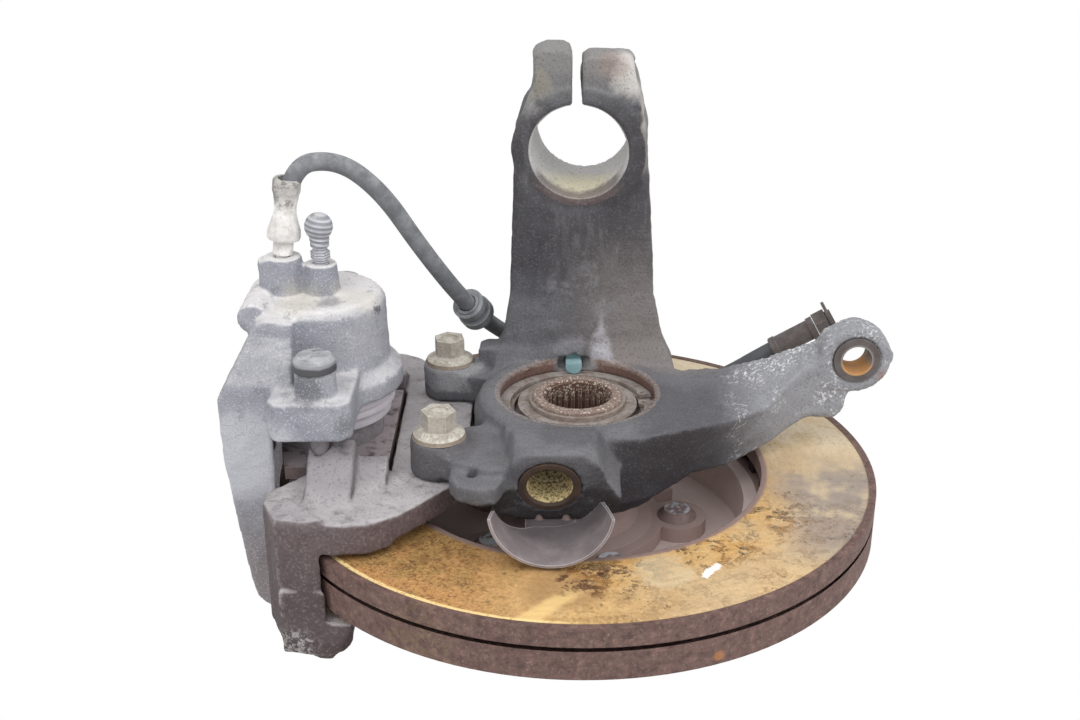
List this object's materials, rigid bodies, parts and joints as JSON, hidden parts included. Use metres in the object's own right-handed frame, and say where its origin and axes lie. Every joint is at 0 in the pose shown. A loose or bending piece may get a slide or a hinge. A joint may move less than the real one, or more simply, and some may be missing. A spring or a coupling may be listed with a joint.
{
  "type": "steering knuckle assembly",
  "caption": "Front steering knuckle lying on its hub face, with wheel hub and bearing, vented brake disc, floating caliper with pads, and its flexible brake hose",
  "frame": {"origin": "centre of the wheel seat (outer face of the disc's hat) on the hub axis", "axes": "+Z inboard along the hub axis, +Y towards the strut clamp, +X towards the track rod arm"},
  "size_m": [0.3085, 0.28, 0.2604],
  "materials": {
    "knuckle_casting": "rough cast, dusty",
    "disc_iron": "turned, flash rusted",
    "hub_steel": "forged, rusted",
    "stud_steel": "dull",
    "bearing_steel": "ground",
    "seal_ring": "dull",
    "seal_rubber": "matt",
    "bush_steel": "oxidised",
    "joint_sleeve": "oxidised",
    "shield_sheet": "pressed sheet",
    "sensor_plastic": "moulded",
    "bolt_zinc": "worn zinc",
    "bracket_casting": "dusty cast",
    "caliper_casting": "brake dust over cast iron",
    "guide_steel": "ground",
    "bush_rubber": "matt",
    "cap_plastic": "dusty",
    "piston_steel": "plated",
    "pad_steel": "worn paint",
    "friction_lining": "sintered lining",
    "boot_rubber": "dusty",
    "bleed_steel": "dusty zinc",
    "fitting_steel": "crimped, dusty",
    "hose_rubber": "dusty ribbed rubber"
  },
  "bodies": {
    "knuckle": {"knuckle": "knuckle_casting", "arm_bush": "bush_steel", "ball_joint_bush": "joint_sleeve", "ball_joint_shield": "shield_sheet", "shield_screws": "stud_steel", "bearing_outer_race": "bearing_steel", "bearing_seal": "seal_rubber", "bearing_snap_ring": "seal_ring", "speed_sensor": "sensor_plastic", "sensor_screw": "bolt_zinc", "caliper_bracket": "bracket_casting", "bracket_bolts": "bolt_zinc", "guide_pins": "guide_steel"},
    "hub": {"wheel_hub": "hub_steel", "wheel_studs": "stud_steel", "brake_disc": "disc_iron", "disc_screw": "stud_steel", "bearing_inner_race": "bearing_steel", "bearing_balls": "bearing_steel", "encoder_ring": "seal_ring"},
    "caliper": {"caliper_housing": "caliper_casting", "guide_bushes": "bush_rubber", "guide_caps": "cap_plastic", "outer_pad_lining": "friction_lining", "outer_pad_plate": "pad_steel", "piston_boot": "boot_rubber", "piston_seal": "bush_rubber", "bleed_screw": "bleed_steel", "bleed_cap": "boot_rubber", "hose_fitting": "fitting_steel", "brake_hose": "hose_rubber", "hose_grommet": "hose_rubber", "hose_ferrule": "bush_steel", "hose_end_fitting": "bush_steel", "hose_clip": "bush_steel"},
    "piston": {"piston": "piston_steel", "inner_pad_lining": "friction_lining", "inner_pad_plate": "pad_steel"}
  },
  "joints": [
    {"name": "hub_spin", "type": "hinge", "parent": "knuckle", "child": "hub", "pos_m": [0, 0, 0], "axis": [0, 0, 1], "continuous": true},
    {"name": "caliper_slide", "type": "slide", "parent": "knuckle", "child": "caliper", "axis": [0, 0, 1], "range_m": [-0.006, 0]},
    {"name": "piston_slide", "type": "slide", "parent": "caliper", "child": "piston", "axis": [0, 0, 1], "range_m": [0, 0.006]}
  ],
  "couplings": [
    {"joint": "piston_slide", "follows": "caliper_slide", "ratio": -1}
  ]
}
